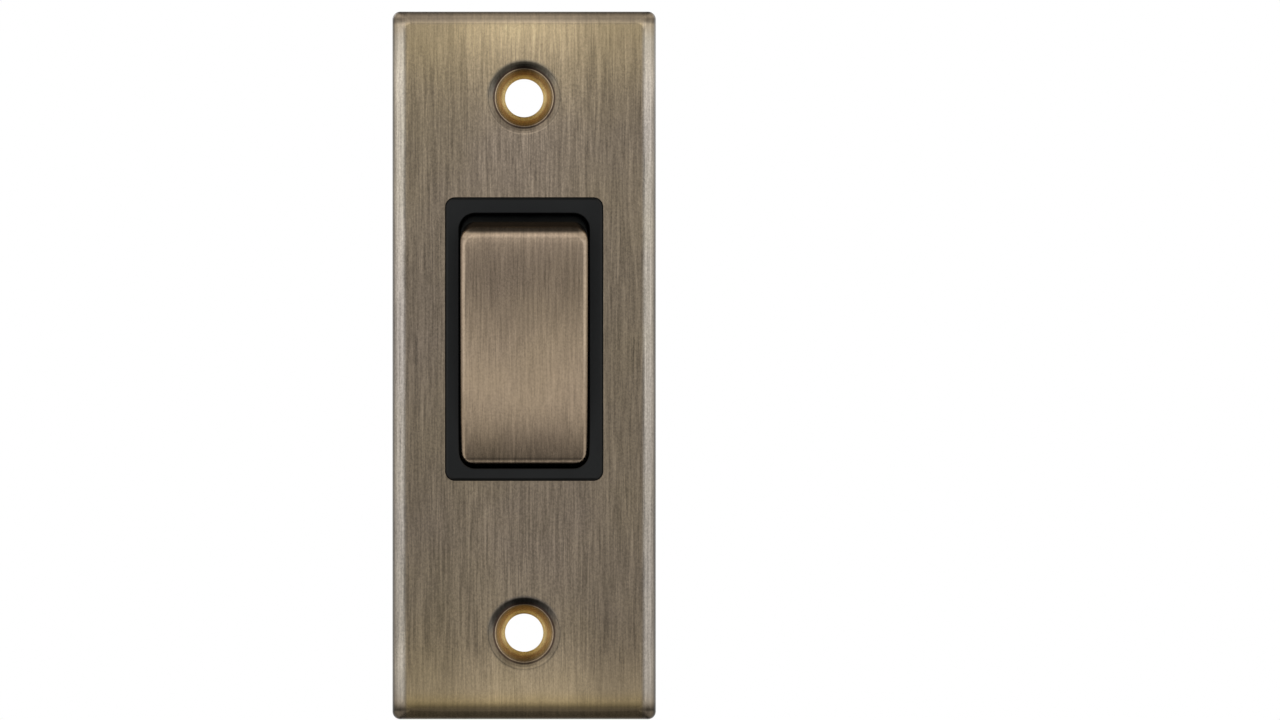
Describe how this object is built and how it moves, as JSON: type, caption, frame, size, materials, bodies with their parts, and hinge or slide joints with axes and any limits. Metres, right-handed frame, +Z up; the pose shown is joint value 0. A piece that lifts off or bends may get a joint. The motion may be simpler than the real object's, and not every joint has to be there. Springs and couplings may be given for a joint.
{
  "type": "architrave light switch",
  "caption": "Narrow single rocker light switch with an antique brass front plate, black insert and a two-way switch module behind it.",
  "frame": {"origin": "middle of the plate's back rim, in the wall plane, halfway between the two fixing holes", "axes": "+Z up as fixed on the wall, +Y into the wall, +X to the right seen from the front; the front faces -Y"},
  "size_m": [0.032, 0.0255, 0.086],
  "materials": {
    "antique_brass": "antique, brushed lengthways",
    "black_moulding": "satin",
    "white_moulding": "satin",
    "plain_brass": "machined",
    "silver_contact": "dull silver",
    "plated_steel": "zinc plated",
    "spring_steel": "drawn wire"
  },
  "bodies": {
    "switch_body": {"front_plate": "antique_brass", "insert_frame": "black_moulding", "mechanism_cover": "black_moulding", "switch_base": "white_moulding", "common_bracket": "plain_brass", "fixed_contact_l2": "plain_brass", "fixed_contact_l1": "plain_brass", "fixed_tip_l2": "silver_contact", "fixed_tip_l1": "silver_contact", "earth_terminal_block": "plain_brass", "terminal_block_l2": "plain_brass", "terminal_block_com": "plain_brass", "terminal_block_l1": "plain_brass", "fixing_pillar_upper": "plain_brass", "module_screw_upper": "plated_steel", "fixing_pillar_lower": "plain_brass", "module_screw_lower": "plated_steel", "housing_screw_top": "plated_steel", "housing_screw_left": "plated_steel", "housing_screw_right": "plated_steel"},
    "rocker": {"rocker_cap": "antique_brass", "rocker_dolly": "black_moulding", "plunger_spring": "spring_steel"},
    "plunger": {"plunger": "white_moulding"},
    "contact_blade": {"moving_contact": "plain_brass", "moving_tip_upper": "silver_contact", "moving_tip_lower": "silver_contact"},
    "clamp_screw_l2": {"terminal_screw_l2": "plated_steel"},
    "clamp_screw_com": {"terminal_screw_com": "plated_steel"},
    "clamp_screw_l1": {"terminal_screw_l1": "plated_steel"},
    "earth_screw": {"earth_terminal_screw": "plated_steel"}
  },
  "joints": [
    {"name": "rocker_tilt", "type": "hinge", "parent": "switch_body", "child": "rocker", "pos_m": [0, 0.0009, 0.00297], "axis": [-1, 0, 0], "range_deg": [0, 16]},
    {"name": "plunger_slide", "type": "slide", "parent": "rocker", "child": "plunger", "axis": [0, 0.9903, 0.1392], "range_m": [-0.0008, 0], "stiffness_N_per_m": 300, "springref_m": 0.001, "deforming": ["plunger_spring"]},
    {"name": "contact_rock", "type": "hinge", "parent": "switch_body", "child": "contact_blade", "pos_m": [0, 0.0089, 0.00297], "axis": [-1, 0, 0], "range_deg": [-18, 0]},
    {"name": "clamp_screw_l2_drive", "type": "slide", "parent": "switch_body", "child": "clamp_screw_l2", "axis": [0, -1, 0], "range_m": [0, 0.0024]},
    {"name": "clamp_screw_com_drive", "type": "slide", "parent": "switch_body", "child": "clamp_screw_com", "axis": [0, -1, 0], "range_m": [0, 0.0024]},
    {"name": "clamp_screw_l1_drive", "type": "slide", "parent": "switch_body", "child": "clamp_screw_l1", "axis": [0, -1, 0], "range_m": [0, 0.0024]},
    {"name": "earth_screw_drive", "type": "slide", "parent": "switch_body", "child": "earth_screw", "axis": [0, -1, 0], "range_m": [0, 0.002]}
  ],
  "couplings": [
    {"joint": "contact_rock", "follows": "rocker_tilt", "ratio": -1.125}
  ]
}
